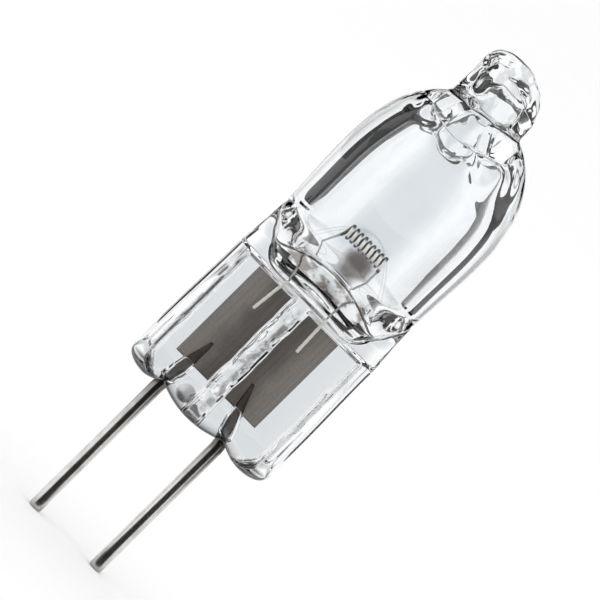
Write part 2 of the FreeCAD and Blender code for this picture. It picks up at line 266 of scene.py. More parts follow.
class Skin:
    """Rows of points that become one mesh."""

    def __init__(self):
        self.points = []
        self.faces = []

    def add_rows(self, rows, flip=False, capped=False):
        """Joins rows of equal length, each a closed ring, into a skin."""
        start = sum(len(block) for block in self.points)
        count = len(rows[0])
        self.points.append(np.concatenate(rows))
        for row in range(len(rows) - 1):
            low = start + row * count
            for column in range(count):
                after = (column + 1) % count
                face = (low + column, low + after, low + count + after, low + count + column)
                self.faces.append(face[::-1] if flip else face)
        if capped:
            last = start + (len(rows) - 1) * count
            self.faces.append(tuple(range(start, start + count))[::-1])
            self.faces.append(tuple(range(last, last + count)))

    def mesh(self, name, merge=0.001):
        """A mesh in metres, with points closer than merge, in millimetres, made one."""
        mesh = bpy.data.meshes.new(name)
        mesh.from_pydata((np.concatenate(self.points) * MM).tolist(), [], self.faces)
        work = bmesh.new()
        work.from_mesh(mesh)
        bmesh.ops.remove_doubles(work, verts=work.verts, dist=merge * MM)
        bmesh.ops.dissolve_degenerate(work, edges=work.edges, dist=merge * MM / 100)
        work.to_mesh(mesh)
        work.free()
        mesh.shade_smooth()
        return mesh


def place(name, mesh, node, materials):
    """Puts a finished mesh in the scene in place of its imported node."""
    piece = bpy.data.objects.new(name, mesh)
    bpy.context.scene.collection.objects.link(piece)
    for material in materials:
        mesh.materials.append(material)
    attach(piece, "root")
    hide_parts(node)


class Nodes:
    """A short way to write a node tree."""

    def __init__(self, tree):
        self.tree = tree
        tree.nodes.clear()

    def add(self, kind, inputs=None, **settings):
        """A node with its inputs linked or set."""
        node = self.tree.nodes.new("ShaderNode" + kind)
        for name, value in settings.items():
            setattr(node, name, value)
        for name, value in (inputs or {}).items():
            if isinstance(value, bpy.types.NodeSocket):
                self.link(value, node.inputs[name])
            else:
                node.inputs[name].default_value = value
        return node

    def link(self, source, target):
        self.tree.links.new(source, target)

    def surface(self, shader, output="OutputMaterial"):
        """Ends the tree with a shader."""
        self.link(shader.outputs[0], self.add(output).inputs["Surface"])

    def place(self):
        """Where a point lies on its piece."""
        return self.add("TexCoord").outputs["Object"]

    def split(self, vector):
        return self.add("SeparateXYZ", {"Vector": vector}).outputs

    def noise(self, place_on, scale, detail=2.0, roughness=0.5):
        return self.add("TexNoise", {"Vector": place_on, "Scale": scale, "Detail": detail,
                                     "Roughness": roughness}).outputs["Fac"]

    def drawn(self, place_on, stretch, detail, roughness=0.5):
        """Noise drawn out into lines."""
        along = self.add("Mapping", {"Vector": place_on, "Scale": stretch}).outputs[0]
        return self.noise(along, 1.0, detail, roughness)

    def bump(self, height, strength, distance):
        return self.add("Bump", {"Height": height, "Strength": strength, "Distance": distance}).outputs[0]

    def ramp(self, factor, *stops):
        """Colours along a factor."""
        node = self.add("ValToRGB", {"Fac": factor})
        elements = node.color_ramp.elements
        while len(elements) < len(stops):
            elements.new(0.5)
        for element, (position, value) in zip(elements, stops):
            element.position = position
            element.color = (*value, 1)
        return node.outputs["Color"]

    def math(self, operation, first, second=0.0):
        return self.add("Math", {0: first, 1: second}, operation=operation).outputs[0]

    def times(self, first, *others):
        for other in others:
            first = self.math("MULTIPLY", first, other)
        return first

    def fade(self, value, start, end, low=0.0, high=1.0):
        """From low where the value is at start to high where it is at end."""
        return self.add("MapRange", {"Value": value, "From Min": start, "From Max": end, "To Min": low,
                                     "To Max": high}).outputs[0]

    def band(self, value, start, end, soft):
        """1 between start and end, 0 outside them."""
        rise = self.fade(value, start - soft, start + soft)
        return self.times(rise, self.fade(value, end + soft, end - soft))

    def blurred(self, value, cloud, amount):
        """A value pushed up and down by a noise."""
        return self.math("ADD", value, self.times(self.math("SUBTRACT", cloud, 0.5), amount))

    def mix(self, factor, first, second, blend="MIX"):
        """Two colours mixed by a factor."""
        node = self.add("Mix", data_type="RGBA", blend_type=blend)
        for index, value in ((0, factor), (6, first), (7, second)):
            if isinstance(value, bpy.types.NodeSocket):
                self.link(value, node.inputs[index])
            else:
                node.inputs[index].default_value = value if index == 0 else (*value, 1)
        return node.outputs[2]


def new_material(name):
    """Empty material and its tree."""
    material = bpy.data.materials.new(name)
    material.use_nodes = True
    return material, Nodes(material.node_tree)


class QuartzFilmsAndShade:
    """Films and painted shade on the quartz: each function says where one lies, from 0 to 1."""

    def __init__(self, tree, glass):
        self.tree, self.glass = tree, glass
        self.place_on = tree.place()
        self.x, self.y, self.z = tree.split(self.place_on)
        self.haze = tree.noise(self.place_on, 420.0, 4.0)
        self.front = tree.fade(self.y, -0.6 * MM, -0.9 * MM)

    def painted_wall_shade_spot(self):
        """Painted shade of the coil on the chamber's back wall, drawn out up and down."""
        tree = self.tree
        core, rim, blur = 0.55 * MM, 0.9 * MM, 0.8 * MM
        squeeze = (0.85, 0.3, 0.65)
        away = tree.add("VectorMath", {0: self.place_on, 1: tuple(self.glass.painted_wall_shade_at)}, operation="SUBTRACT")
        squeezed = tree.add("VectorMath", {0: away.outputs["Vector"], 1: squeeze}, operation="MULTIPLY")
        reach = tree.add("VectorMath", {0: squeezed.outputs["Vector"]}, operation="LENGTH").outputs["Value"]
        return tree.fade(tree.blurred(reach, self.haze, blur), rim, core)

    def under_floor(self):
        """Brown clouds on the front below the chamber."""
        tree = self.tree
        clouds = tree.fade(tree.noise(self.place_on, 1500.0, 4.0), 0.44, 0.56)
        upright = tree.band(self.z, 8.7 * MM, 9.8 * MM, 0.15 * MM)
        across = tree.band(self.x, -2.4 * MM, 3.0 * MM, 0.3 * MM)
        return tree.times(upright, across, clouds, self.front)

    def press_line(self):
        """Bell-shaped line on the front, with a breath of haze inside its top left."""
        tree, top = self.tree, self.glass.press_top
        bell_steepness, half_line = 470.0, 0.03 * MM
        aside = tree.math("SUBTRACT", self.x, GLASS_AXIS)
        bell = tree.math("ADD", self.z, tree.times(aside, aside, bell_steepness))
        line = tree.band(bell, top - half_line, top + half_line, 0.04 * MM)
        breath = tree.times(tree.band(bell, top - 0.3 * MM, top, 0.25 * MM),
                            tree.band(self.x, -0.6 * MM, 0.0, 0.3 * MM))
        above_pinch = tree.band(self.z, 9.5 * MM, 20 * MM, 0.5 * MM)
        return tree.times(tree.math("MAXIMUM", line, breath), self.front, above_pinch)

    def painted_rail_shade_lines(self):
        """Broken lines of painted shade along the field walls at the left and, fainter, at the right rail."""
        tree = self.tree
        half_line = 0.08 * MM
        streaks = tree.fade(tree.noise(self.place_on, 900.0), 0.26, 0.42)
        broken = tree.times(streaks, self.front, tree.band(self.z, 1.1 * MM, 7.3 * MM, 0.4 * MM))
        rail_inner = (GLASS_HIGH.x - GLASS_LOW.x) / 2 - self.glass.rail_width
        lines = []
        for middle, share in ((GLASS_AXIS - rail_inner + 0.03 * MM, 1.0),
                              (GLASS_AXIS + rail_inner + 0.05 * MM, 0.5)):
            corner = tree.band(self.x, middle - half_line, middle + half_line, 0.04 * MM)
            lines.append(tree.times(corner, broken, share))
        return lines

    def painted_lower_edge_shade(self):
        """Painted shade where the lowest glass turns under."""
        tree = self.tree
        normal = tree.split(tree.add("NewGeometry").outputs["Normal"])["Z"]
        turned = tree.fade(tree.math("ABSOLUTE", normal), 0.12, 0.42)
        return tree.times(turned, tree.fade(self.z, 1.4 * MM, 1.0 * MM))

    def rib_painted_shade_patches(self):
        """Painted shade in grey patches along the right half of the rib."""
        tree = self.tree
        patches = tree.fade(tree.noise(self.place_on, 2300.0, 3.0), 0.42, 0.58)
        right_half = tree.band(self.x, 0.1 * MM, 0.55 * MM, 0.06 * MM)
        return tree.times(right_half, tree.band(self.z, 0.6 * MM, 7.0 * MM, 0.4 * MM), patches)

    def round_mark(self):
        """The round mark and the painted shade on it, which darkens towards its lower right."""
        tree = self.tree
        away = tree.add("VectorMath", {0: self.place_on, 1: tuple(self.glass.mark_at)}, operation="DISTANCE")
        on_mark = tree.fade(away.outputs["Value"], MARK_RADIUS * MM, (MARK_RADIUS - 0.08) * MM)
        slanted = tree.math("SUBTRACT", self.x, tree.times(self.z, 0.5))
        shade = tree.ramp(tree.fade(slanted, -1.7 * MM, -0.8 * MM), (0.0, (0.55, 0.55, 0.55)),
                          (0.55, (0.22, 0.22, 0.22)), (1.0, (0.07, 0.07, 0.07)))
        return on_mark, shade


def quartz_material(glass):
    """Clear quartz with fine drawn lines, faint haze, its films and painted shade; lamps shine through it."""
    material, tree = new_material("clear_quartz")
    films_and_shade = QuartzFilmsAndShade(tree, glass)
    tint = tuple(glass.tint)
    body = tree.ramp(films_and_shade.haze, (0.3, tint), (0.7, tuple(min(1, value * 1.03) for value in tint)))
    # Painted shade mixed into the tint: the coil's on the back wall, the rail lines, the lower edge and the
    # rib.
    layers = [(films_and_shade.painted_wall_shade_spot(), glass.painted_wall_shade), (films_and_shade.under_floor(), glass.smoke),
              (films_and_shade.press_line(), glass.press_line)]
    layers += [(line, glass.rail_painted_shade) for line in films_and_shade.painted_rail_shade_lines()]
    layers += [(films_and_shade.painted_lower_edge_shade(), glass.edge_painted_shade), (films_and_shade.rib_painted_shade_patches(), glass.rib_painted_shade)]
    for share, film in layers:
        body = tree.mix(share, body, tuple(film))
    # Painted shade on the round mark, darker towards its lower right; its rougher glass is real.
    on_mark, shade = films_and_shade.round_mark()
    rough = tree.math("ADD", tree.fade(films_and_shade.haze, 0.45, 0.8, 0.0, 0.035), tree.times(on_mark, 0.2))
    lines = tree.drawn(films_and_shade.place_on, (1400, 1400, 90), 3.0)
    clear = tree.add("BsdfPrincipled", {
        "Base Color": tree.mix(on_mark, body, shade), "Roughness": rough, "IOR": 1.458,
        "Transmission Weight": 1.0, "Normal": tree.bump(lines, 0.035, 0.1 * MM)})
    open_to_lamps = tree.add("BsdfTransparent", {"Color": (0.93, 0.94, 0.945, 1)})
    shadow_ray = tree.add("LightPath").outputs["Is Shadow Ray"]
    tree.surface(tree.add("MixShader", {0: shadow_ray, 1: clear.outputs[0], 2: open_to_lamps.outputs[0]}))
    return material


def drawn_metal(name, light, dark, roughness, stretch, mottling, metallic=1.0):
    """Metal with drawing lines along one direction and darker mottling."""
    material, tree = new_material(name)
    place_on = tree.place()
    lines = tree.drawn(place_on, stretch, 5.0, 0.65)
    streaked = tree.mix(lines, tuple(0.82 * value for value in light), light)
    patchy = tree.ramp(tree.noise(place_on, mottling, 6.0), (0.42, (0, 0, 0)), (0.75, (1, 1, 1)))
    body = tree.mix(patchy, streaked, dark)
    metal = tree.add("BsdfPrincipled", {
        "Base Color": body, "Metallic": metallic, "Normal": tree.bump(lines, 0.2, 0.02 * MM),
        "Roughness": tree.fade(lines, 0.3, 0.7, roughness * 0.75, roughness * 1.3)})
    tree.surface(metal)
    return material, tree, metal, body


class Envelope:
    """Works out the quartz envelope in millimetres from the panel's sizes."""

    PINCH_SQUARENESS = 6.0
    EDGE_SQUARENESS = 4.0
    DOME_FULLNESS = 2.6
    PINCH_NARROWING = 0.1
    FACE_OVERSHOOT = 0.85
    MARK_DENT = 0.12
    LOBE_REACH = 2.2
    TIP_FILLET_OUT = 0.16
    TIP_FILLET_UP = 0.22
    TIP_TOP_THICKNESS = 1.4
    BORE_MOUTH = 2.0

    def __init__(self, glass):
        for name in glass.bl_rna.properties.keys():
            value = getattr(glass, name)
            if isinstance(value, float):
                setattr(self, name, value / MM)
        self.crease_slope = glass.crease_slope
        self.mark_x, _, self.mark_z = (value / MM for value in glass.mark_at)
        self.axis = GLASS_AXIS / MM
        self.half_width = (GLASS_HIGH.x - GLASS_LOW.x) / 2 / MM
        self.bulb_radius = (GLASS_HIGH.y - GLASS_LOW.y) / 2 / MM
        self.top = GLASS_HIGH.z / MM
        self.half_pinch = self.pinch_thickness / 2
        self.half_web = self.web_thickness / 2
        self.tip_axis = self.axis + self.tip_shift
        pin_radius_outside = (LEFT_PIN_HIGH.y - LEFT_PIN_LOW.y) / 2 / MM
        self.pin_x = (RIGHT_PIN_HIGH.x - LEFT_PIN_LOW.x) / 2 / MM - pin_radius_outside
        rail_inner = self.half_width - self.rail_width
        self.walls = (
            (self.axis - rail_inner, 1),
            (self.rib_shift - self.rib_width / 2, -1),
            (self.rib_shift + self.rib_width / 2, 1),
            (self.axis + rail_inner, -1),
        )
        self.angles = self.column_angles(glass.columns)

    def column_angles(self, columns):
        """Directions of the columns, closer together where the pinch has a wall or a mark."""
        half = columns // 2
        along_face, at_wall, wall_reach, at_mark, mark_reach = 0.35, 1.3, 0.16, 0.5, 0.4
        fine = np.linspace(math.pi, TURN, 6001)
        x, y = section(fine, self.half_width, self.half_pinch, self.PINCH_SQUARENESS)
        x = x + self.axis
        travel = np.hypot(np.gradient(x, fine), np.gradient(y, fine))
        weight = 1.0 + along_face * travel
        for wall, way in self.walls:
            weight += at_wall * travel * np.exp(-((x - wall - way * self.wall_slope / 2) / wall_reach) ** 2)
        weight += at_mark * travel * np.exp(-((x - self.mark_x) / mark_reach) ** 2)
        total = np.concatenate([[0], np.cumsum((weight[1:] + weight[:-1]) / 2)])
        shares = np.linspace(0, total[-1], half, endpoint=False) + total[-1] / half / 2
        front = np.interp(shares, total, fine)
        return np.concatenate([TURN - front[::-1], front])

    def field(self, x, z, front):
        """How far a place lies in one of the two pressed fields, from 0 on the rails and rib to 1."""
        wobble = np.where(front, 0.035 * np.sin(1.9 * z + 0.7) + 0.025 * np.sin(4.3 * z), 0.0)
        below = np.clip(self.field_corner + self.field_foot - z, 0, self.field_corner)
        turned_in = self.field_corner - np.sqrt(self.field_corner ** 2 - below ** 2)
        edges = []
        for index, (wall, way) in enumerate(self.walls):
            shift = wobble + way * turned_in if index in (0, 3) else 0.6 * wobble
            edges.append(smooth(way * (x - wall - shift) / self.wall_slope))
        inside = edges[0] * edges[1] + edges[2] * edges[3]
        return inside * smooth((self.pinch_height - z) / 0.2)

    def lobes(self, x, z):
        """Lift of the lower edge: two notches at the pins, gone higher up."""
        side_reach = self.half_width - self.corner_radius
        left_run, right_run = self.axis - side_reach, self.axis + side_reach
        middle = (x / self.pin_x) ** 2
        left = np.clip((x - left_run) / (-self.pin_x - left_run), 0, 1) ** 2
        right = np.clip((x - right_run) / (self.pin_x - right_run), 0, 1) ** 2
        lift = np.where(np.abs(x) < self.pin_x, middle, np.where(x < 0, left, right))
        return self.lobe_depth * lift * np.clip(1 - z / self.LOBE_REACH, 0, 1) ** 2

    def pinch_row(self, half_width, half_depth, squareness, level, strength):
        """One ring of the pinch with its fields pressed in by strength, and the round mark's dent."""
        x, y = section(self.angles, half_width, half_depth, squareness)
        x = x + self.axis
        level = np.broadcast_to(level, x.shape).copy()
        pressed = self.field(x, level, y < 0) * strength
        web = self.half_web - (self.half_pinch - half_depth)
        face = np.abs(y)
        y = np.sign(y) * (face - pressed * np.clip(face - web, 0, None))
        away = np.hypot(x - self.mark_x, level - self.mark_z) / MARK_RADIUS
        dent = self.MARK_DENT * np.clip(1 - away ** 2, 0, 1) ** 2
        y = y + np.where((y < 0) & (away < 1), dent, 0)
        return ring(x, y, level + self.lobes(x, level))

    def pinch_rows(self):
        """The lower edge and the pressed pinch, and the height where they end."""
        rows = []
        rounding, corner, edge_square = self.edge_rounding, self.corner_radius, self.EDGE_SQUARENESS
        under_rows, turn_rows, face_rows = 7, 15, 57
        for step in range(under_rows):
            part = step / under_rows
            wide = self.half_width - corner - 0.6 * (1 - part)
            deep = (self.half_pinch - rounding) * part
            rows.append(self.pinch_row(wide, deep, edge_square - 1 + part, 0.0, 0.0))
        ends = np.abs(np.cos(self.angles)) ** 10
        local = rounding + (corner - rounding) * ends
        for step in range(turn_rows):
            turn = QUARTER * step / (turn_rows - 1)
            wide = self.half_width - corner * (1 - math.sin(turn))
            deep = self.half_pinch - rounding * (1 - math.sin(turn))
            square = edge_square + (self.PINCH_SQUARENESS - edge_square) * math.sin(turn)
            rows.append(self.pinch_row(wide, deep, square, local * (1 - math.cos(turn)), math.sin(turn)))
        upper = self.pinch_height - 0.3
        for step in range(1, face_rows):
            part = step / (face_rows - 1)
            level = local + (upper - local) * part
            wide = self.half_width - self.PINCH_NARROWING * smooth(part) ** 2
            rows.append(self.pinch_row(wide, self.half_pinch, self.PINCH_SQUARENESS, level, 1.0))
        return rows, upper

    def body_radius(self, level):
        """Round body below the dome: from the pinch's width in to the waist, then out to the belly."""
        low_width, early = self.half_width - self.PINCH_NARROWING, 0.4
        waist = self.pinch_height + self.waist_rise
        drawn_in = smooth((level - self.pinch_height + early) / (self.waist_rise + early))
        blown_out = smooth((level - waist) / (self.dome_start - waist))
        inward = low_width + (self.waist_radius - low_width) * drawn_in
        return inward + (self.bulb_radius - self.waist_radius) * blown_out

    def dome_level(self, x, y, radius, start, top):
        """Height of a dome at a place."""
        away = np.clip(np.hypot(x - self.axis, y) / radius, 0, 1)
        return start + (top - start) * (1 - away ** 2) ** (1 / self.DOME_FULLNESS)

    def outer_dome(self, x, y):
        """Height of the bulb's dome at a place."""
        return self.dome_level(x, y, self.bulb_radius, self.dome_start, self.dome_top)

    def face_depth(self, level):
        """Half depth between the pressed faces, which open out from the pinch up to the round bulb."""
        part = np.clip((level - self.pinch_height) / self.face_rise, 0, 1)
        opening = self.bulb_radius + self.FACE_OVERSHOOT - self.half_pinch
        return self.half_pinch + opening * np.sin(part * math.pi / 2)

    def blown_ring(self, turns, level):
        """Ring of the bulb's lower end, which swells out of the pinch between two flat ears."""
        rise = level - self.pinch_height
        radius = self.body_radius(level)
        across = np.cos(turns)
        ear = self.half_pinch * (1 - smooth((rise - self.ear_start) / self.ear_run))
        flat = ear * (1 - np.abs(across) ** 6) ** (1 / 6)
        width = soft_min(self.crease_low + self.crease_slope * rise, radius, 0.2)
        depth = easy_min(self.face_depth(level), radius, 0.8)
        fullness = 2 + 6 * (1 - smooth(rise / 3.0))
        swell = depth * np.clip(1 - np.abs(across * radius / width) ** fullness, 0, None) ** (1 / fullness)
        softness = self.crease_softness * (1 - np.abs(across) ** 8) + 1e-6
        return radius * across + self.axis, np.sign(np.sin(turns)) * -soft_min(-flat, -swell, softness)

    def shoulder_rows(self, start):
        """From the pinch's top over the shoulder and up the round bulb to the dome."""
        rows = []
        foot, belly = self.pinch_height + 0.15, 12.6
        levels = np.concatenate([
            np.linspace(start, foot, 13)[1:],
            np.linspace(foot, belly, 64)[1:],
            np.linspace(belly, self.dome_start, 10)[1:],
        ])
        plain = np.where(self.angles > math.pi, self.angles - TURN, self.angles)
        pinch_x, pinch_y = section(self.angles, 1.0, 1.0, self.PINCH_SQUARENESS)
        matched = np.arccos(np.clip(pinch_x, -1, 1)) * np.where(pinch_y >= 0, 1, -1)
        wide = self.half_width - self.PINCH_NARROWING
        for level in levels:
            low = self.pinch_row(wide, self.half_pinch, self.PINCH_SQUARENESS, level, 1.0)
            spread = smooth((level - self.pinch_height) / 2.6)
            high = ring(*self.blown_ring((1 - spread) * matched + spread * plain, level), level)
            part = smooth((level - self.pinch_height + 0.02) / 0.75)
            rows.append(low * (1 - part) + high * part)
        return rows

    def dome_rows(self):
        """Dome, rings drifting from the bulb's axis to the tip's."""
        rows = []
        foot, count = self.tip_radius + self.TIP_FILLET_OUT, 52
        for step in range(1, count + 1):
            part = step / count
            radius = self.bulb_radius * math.cos(part * math.acos(foot / self.bulb_radius))
            drift = self.axis + self.tip_shift * smooth(part) * part
            x, y = drift + radius * np.cos(self.angles), radius * np.sin(self.angles)
            rows.append(ring(x, y, self.outer_dome(x, y)))
        return rows

    def melted(self, x, y, level):
        """Height cut down by the sloping, melted top of the tip."""
        cap = self.tip_radius - self.cap_shift + 0.05
        away = np.hypot(x - self.tip_axis - self.cap_shift, y)
        ball = self.top - cap + np.sqrt(np.clip(cap ** 2 - away ** 2, 0, None))
        return soft_min(level, ball, 0.25)

    def tip_ring(self, radius):
        """Places of a ring round the tip's axis."""
        return radius * np.cos(self.angles) + self.tip_axis, radius * np.sin(self.angles)

    def tip_rows(self):
        """Stub of the exhaust tube, crumpled where it was melted shut."""
        rows = []
        rise, fillet_rows, wall_rows, edge_rows, top_rows = self.TIP_FILLET_UP, 7, 32, 18, 14
        x, y = self.tip_ring(self.tip_radius)
        base = self.outer_dome(x, y)
        rim = self.melted(x, y, np.full_like(x, self.top - self.tip_edge))
        for step in range(1, fillet_rows):
            turn = QUARTER * step / fillet_rows
            foot_x, foot_y = self.tip_ring(self.tip_radius + self.TIP_FILLET_OUT * (1 - math.sin(turn)))
            rows.append(ring(foot_x, foot_y, self.outer_dome(foot_x, foot_y) + rise * (1 - math.cos(turn))))
        for step in range(1, wall_rows + 1):
            rows.append(ring(x, y, base + rise + (rim - base - rise) * step / wall_rows))
        for step in range(1, edge_rows + top_rows + 1):
            turn = QUARTER * min(1, step / edge_rows)
            radius = self.tip_radius - self.tip_edge * (1 - math.cos(turn))
            if step > edge_rows:
                radius *= (edge_rows + top_rows - step) / top_rows
            x, y = self.tip_ring(radius)
            level = np.full_like(x, self.top - self.tip_edge * (1 - math.sin(turn)))
            rows.append(ring(x, y, self.melted(x, y, level)))
        return self.crumpled(rows, base.min())

    def crumpled(self, rows, foot):
        """The tip's rows with flutes down its wall and knots round its top, all pressed in."""
        size = len(rows[0])
        skin = np.concatenate(rows)
        x, z = skin[:, 0], skin[:, 2]
        around = np.arctan2(skin[:, 1], x - self.tip_axis)
        rising = smooth((z - foot - 0.1) / 0.7)
        flutes = 0.09 * np.sin(7 * around + 0.5 * z) + 0.025 * np.sin(12 * around - 0.8 * z + 1)
        flutes *= 0.5 + 0.5 * uneven(skin, 0.6, 9)
        knots = 0.18 * uneven(skin, 1.0, 3) + 0.085 * uneven(skin, 2.0, 5)
        knots *= 1 + 1.2 * smooth((self.tip_axis - x) / 1.4)
        high = smooth((z - self.top + 2.0) / 1.4)
        push = (flutes * (1 - 0.6 * high) + knots * (0.25 + high)) * rising - 0.06 * rising
        outward = skin - np.array([self.tip_axis, 0, self.top - 2.2])
        outward /= np.linalg.norm(outward, axis=1)[:, None] + 1e-9
        skin = skin + outward * np.minimum(push, 0.0)[:, None]
        skin[:, 2] = np.minimum(skin[:, 2], self.top)
        return closed_end(list(skin.reshape(-1, size, 3)))

    def outer_skin(self):
        """Whole outside from the lower edge to the melted tip, with waves on the pinch and a knobbly rib."""
        pinch, upper = self.pinch_rows()
        body = pinch + self.shoulder_rows(upper)
        size = len(body[0])
        flat = np.concatenate(body)
        x, z = flat[:, 0], flat[:, 2]
        wave = uneven(flat, 0.55, 1) * self.ripple + uneven(flat, 1.7, 2) * self.ripple * 0.5
        rib = np.exp(-((x - self.rib_shift) / 0.4) ** 4) * smooth((7.5 - z) / 0.4)
        rib *= smooth((z - 0.4) / 0.5)
        knobbly = uneven(flat, 1.7, 4) * 0.2 + uneven(flat, 4.1, 6) * 0.08 - 0.06
        fade = smooth((self.pinch_height + 5 - z) / 2.0)
        calm = smooth((3.3 - np.abs(x - self.axis)) / 0.4)
        push = np.minimum(wave, 0) * fade * calm + np.minimum(knobbly, 0.0) * rib
        flat[:, 1] += np.sign(flat[:, 1]) * np.where(np.abs(flat[:, 1]) > 0.3, push, 0)
        return list(flat.reshape(-1, size, 3)) + self.dome_rows() + self.tip_rows()

    def chamber_skin(self):
        """Wall of the filament chamber, from its rounded floor to the end of the exhaust bore."""
        turns = np.linspace(-math.pi, math.pi, 128, endpoint=False)
        tube = self.bulb_radius - self.wall_thickness
        return self.chamber_rows(turns, tube) + self.bore_rows(turns, tube)

    def chamber_rows(self, turns, tube):
        """Chamber up to its dome, wedge-shaped below and round above, over an arched floor."""
        rows = []
        floor, knee = self.floor_level, self.floor_level + self.floor_rise
        drawn_in, squareness, arch_top, arch_reach, fine_band = 0.45, 3.5, 12, 2.6, 0.3
        levels = np.concatenate([
            floor + self.floor_rise * (1 - np.cos(np.linspace(0, QUARTER, 40))),
            np.linspace(knee, knee + fine_band, 8)[1:],
            np.linspace(knee + fine_band, self.chamber_dome, 56)[1:],
        ])
        for level in levels:
            radius = tube - drawn_in * (1 - smooth((level - floor) / 1.5))
            depth = easy_min(self.face_depth(max(level, knee)) - self.face_wall, tube, 0.75)
            part = np.clip((knee - level) / self.floor_rise, 0, 1)
            depth = float(depth * max(0.0, 1 - part ** squareness) ** (1 / squareness))
            x, y = self.axis + radius * np.cos(turns), depth * np.sin(turns)
            drop = self.floor_arch * smooth((arch_top - level) / (arch_top - knee))
            rows.append(ring(x, y, level - drop * ((x - self.axis) / arch_reach) ** 2))
        return rows

    def bore_rows(self, turns, tube):
        """Chamber's dome, the ragged lip in it and the exhaust bore, closed at its top."""
        across, deep = np.cos(turns), np.sin(turns)
        profile = []
        for part in np.linspace(0, 1, 36)[1:]:
            radius = tube * math.cos(part * math.acos(self.BORE_MOUTH / tube))
            level = self.dome_level(self.axis + radius, 0.0, tube, self.chamber_dome, self.chamber_top)
            profile.append((radius, float(level)))
        ledge = profile[-1][1]
        bore, bore_top = self.bore_radius, self.top - self.TIP_TOP_THICKNESS
        lip = curve_through([
            profile[-1], (1.86, ledge + 0.02), (1.72, ledge - 0.3), (1.52, ledge - 0.62),
            (1.28, ledge - 0.68), (1.06, ledge - 0.45), (0.93, ledge - 0.05),
            (bore, ledge + 0.6), (bore, ledge + 1.4), (bore, bore_top - 0.7),
            (bore * 0.86, bore_top - 0.3), (bore * 0.5, bore_top - 0.05), (0.0, bore_top)], 84)
        wall = []
        for radius, level in profile + [tuple(point) for point in lip[1:]]:
            radius = max(radius, 0.0)
            drift = self.axis + self.tip_shift * smooth((3.1 - radius) / 1.4)
            wall.append(ring(radius * across + drift, radius * deep, level))
        return self.roughened(wall, ledge)

    def roughened(self, wall, ledge):
        """The dome's and bore's rows with a ragged, tilted lip and rough glass above it."""
        size = len(wall[0])
        flat = np.concatenate(wall)
        around = np.arctan2(flat[:, 1], flat[:, 0] - self.tip_axis)
        near_lip = np.exp(-((flat[:, 2] - ledge + 0.25) / 0.55) ** 2)
        ragged = 0.18 * np.sin(2 * around + 0.6) + 0.1 * np.sin(5 * around)
        ragged += 0.4 * uneven(flat, 0.8, 7)
        tilt = 0.16 * (flat[:, 0] - self.tip_axis)
        flat[:, 2] += near_lip * (ragged + tilt)
        rough = uneven(flat, 1.1, 8) * 0.16
        rough *= smooth((flat[:, 2] - ledge) / 0.8) + 0.7 * near_lip
        toward = flat[:, :2] - np.array([self.tip_axis, 0])
        away = np.linalg.norm(toward, axis=1)[:, None]
        flat[:, :2] += toward / (away + 1e-9) * np.minimum(rough, 0.08)[:, None] * np.clip(away, 0, 1)
        return closed_end(list(flat.reshape(-1, size, 3)))

    def pin_pockets(self, gap):
        """Thin hollows round the pins inside the pinch, each closed at both ends."""
        pockets = []
        foot, height, angles = 0.52, 1.5, circle(40)
        for side in (-1, 1):
            rows = []
            for part in 0.5 - 0.5 * np.cos(np.linspace(0, math.pi, 40)):
                level = foot + height * part
                close = math.sqrt(max(0.0, 1 - (2 * part - 1) ** 16))
                radius = (pin_radius(level) + gap * (1.25 - 0.5 * part)) * close
                reach = radius * (1 + 0.06 * np.sin(3 * angles + 5 * part + side) * close)
                x = pin_centre(side, level) + reach * np.cos(angles)
                rows.append(ring(x, reach * np.sin(angles), level))
            pockets.append(rows)
        return pockets


def pin_centre(side, level):
    """Middle of a pin at a height: upright outside the glass, leaning to its foil inside."""
    low, high = (LEFT_PIN_LOW, LEFT_PIN_HIGH) if side < 0 else (RIGHT_PIN_LOW, RIGHT_PIN_HIGH)
    radius = (high.y - low.y) / 2 / MM
    tip = bpy.context.scene.capsule_metal.pin_tip_radius / MM
    outer = (low.x / MM + radius) if side < 0 else (high.x / MM - radius)
    inner = (high.x / MM - tip) if side < 0 else (low.x / MM + tip)
    lean = (inner - outer) / (high.z / MM)
    bend = 0.25
    if level > bend:
        return outer + lean * level
    return outer + lean * (max(level + bend, 0) ** 2 / (4 * bend))


def pin_radius(level):
    """Radius of a pin at a height, with its taper at the inner end."""
    metal = bpy.context.scene.capsule_metal
    radius = (LEFT_PIN_HIGH.y - LEFT_PIN_LOW.y) / 2 / MM
    taper = metal.pin_taper / MM
    part = np.clip((level - LEFT_PIN_HIGH.z / MM + taper) / taper, 0, 1)
    return radius + (metal.pin_tip_radius / MM - radius) * float(part)


class CAPSULE_OT_envelope(bpy.types.Operator):
    """Blown and pressed quartz envelope, with its chamber and the hollows round the pins"""

    bl_idname = "capsule.envelope"
    bl_label = "Quartz envelope"

    def execute(self, context):
        glass = context.scene.capsule_glass
        shape = Envelope(glass)
        skin = Skin()
        skin.add_rows(shape.outer_skin())
        for rows in [shape.chamber_skin()] + shape.pin_pockets(context.scene.capsule_metal.pin_gap / MM):
            skin.add_rows(rows, flip=True)
        mesh = skin.mesh("quartz_envelope")
        place("quartz_envelope", mesh, "glass_envelope", [quartz_material(glass)])
        return {"FINISHED"}


def sweep(path, radii, sides):
    """Rings round a path, turned with it and never twisted."""
    to_the_back = (0.0, 1.0, 0.0)
    tangents = np.gradient(path, axis=0)
    tangents /= np.linalg.norm(tangents, axis=1)[:, None]
    normal = np.cross(np.cross(tangents[0], to_the_back), tangents[0])
    normal /= np.linalg.norm(normal)
    across, along = np.cos(circle(sides))[:, None], np.sin(circle(sides))[:, None]
    rows = []
    for point, tangent, radius in zip(path, tangents, radii):
        normal = normal - tangent * np.dot(normal, tangent)
        normal /= np.linalg.norm(normal)
        rows.append(point + radius * (across * normal + along * np.cross(tangent, normal)))
    return rows


